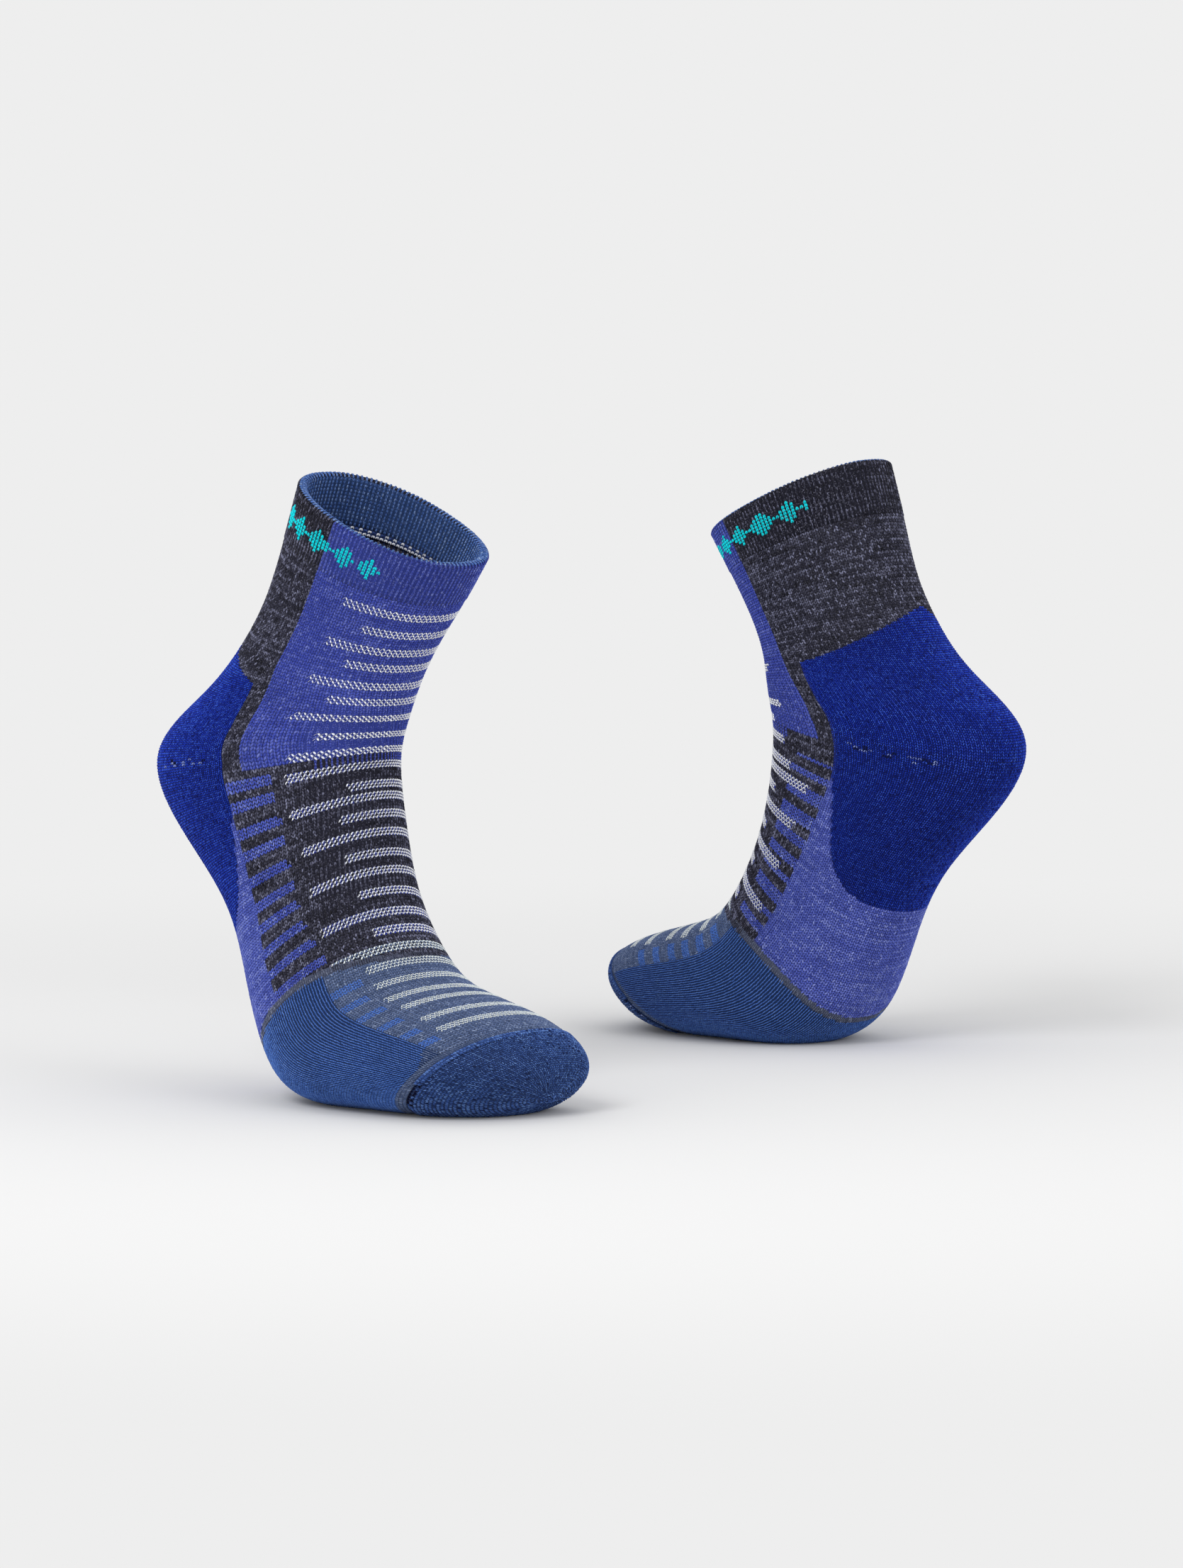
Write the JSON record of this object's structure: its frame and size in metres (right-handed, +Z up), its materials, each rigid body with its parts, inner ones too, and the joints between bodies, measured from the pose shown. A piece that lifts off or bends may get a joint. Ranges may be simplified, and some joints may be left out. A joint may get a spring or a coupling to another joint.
{
  "type": "pair of knitted ankle socks",
  "caption": "Pair of cushioned knitted ankle socks in worn shape, standing on the balls of the feet, with a double cuff, heel pad, striped front and toe cap.",
  "frame": {"origin": "on the ground, at the middle of the box round the pair", "axes": "+Z up; +Y away from the front view, which shows the right sock's front and the left sock's back; +X to the right of that view"},
  "size_m": [0.3699, 0.3868, 0.2578],
  "materials": {
    "violet_heather_knit": "matt heather knit",
    "charcoal_heather_knit": "matt heather mesh knit",
    "royal_blue_terry": "matt cushioned knit",
    "instep_knit": "matt ribbed knit with pale stripes",
    "grey_knit": "matt knit",
    "grey_blue_knit": "matt knit with pale stripes",
    "steel_blue_terry": "matt ribbed cushioned knit",
    "toe_terry": "matt cushioned knit",
    "steel_blue_lining": "matt ribbed knit",
    "elastic": "matt covered elastic",
    "white_linking_loops": "matt yarn"
  },
  "bodies": {
    "right_sock": {"right_ankle_strip_inner": "charcoal_heather_knit", "right_ankle_strip_outer": "charcoal_heather_knit", "right_arch_panel": "violet_heather_knit", "right_ball_cushion": "steel_blue_terry", "right_ball_ring": "grey_knit", "right_cuff_back": "charcoal_heather_knit", "right_cuff_elastic": "elastic", "right_cuff_front": "violet_heather_knit", "right_cuff_lining": "steel_blue_lining", "right_cuff_link_row": "white_linking_loops", "right_forefoot_top": "grey_blue_knit", "right_heel_lower": "royal_blue_terry", "right_heel_upper": "royal_blue_terry", "right_instep_panel": "instep_knit", "right_leg_back_panel": "charcoal_heather_knit", "right_leg_front_panel": "violet_heather_knit", "right_toe_band": "grey_blue_knit", "right_toe_cap": "toe_terry", "right_toe_seam": "toe_terry"},
    "left_sock": {"left_ankle_strip_inner": "charcoal_heather_knit", "left_ankle_strip_outer": "charcoal_heather_knit", "left_arch_panel": "violet_heather_knit", "left_ball_cushion": "steel_blue_terry", "left_ball_ring": "grey_knit", "left_cuff_back": "charcoal_heather_knit", "left_cuff_elastic": "elastic", "left_cuff_front": "violet_heather_knit", "left_cuff_lining": "steel_blue_lining", "left_cuff_link_row": "white_linking_loops", "left_forefoot_top": "grey_blue_knit", "left_heel_lower": "royal_blue_terry", "left_heel_upper": "royal_blue_terry", "left_instep_panel": "instep_knit", "left_leg_back_panel": "charcoal_heather_knit", "left_leg_front_panel": "violet_heather_knit", "left_toe_band": "grey_blue_knit", "left_toe_cap": "toe_terry", "left_toe_seam": "toe_terry"}
  },
  "joints": [
    {"name": "left_sock_lift", "type": "slide", "parent": "right_sock", "child": "left_sock", "axis": [0, 0, 1], "range_m": [0, 0.3]}
  ]
}
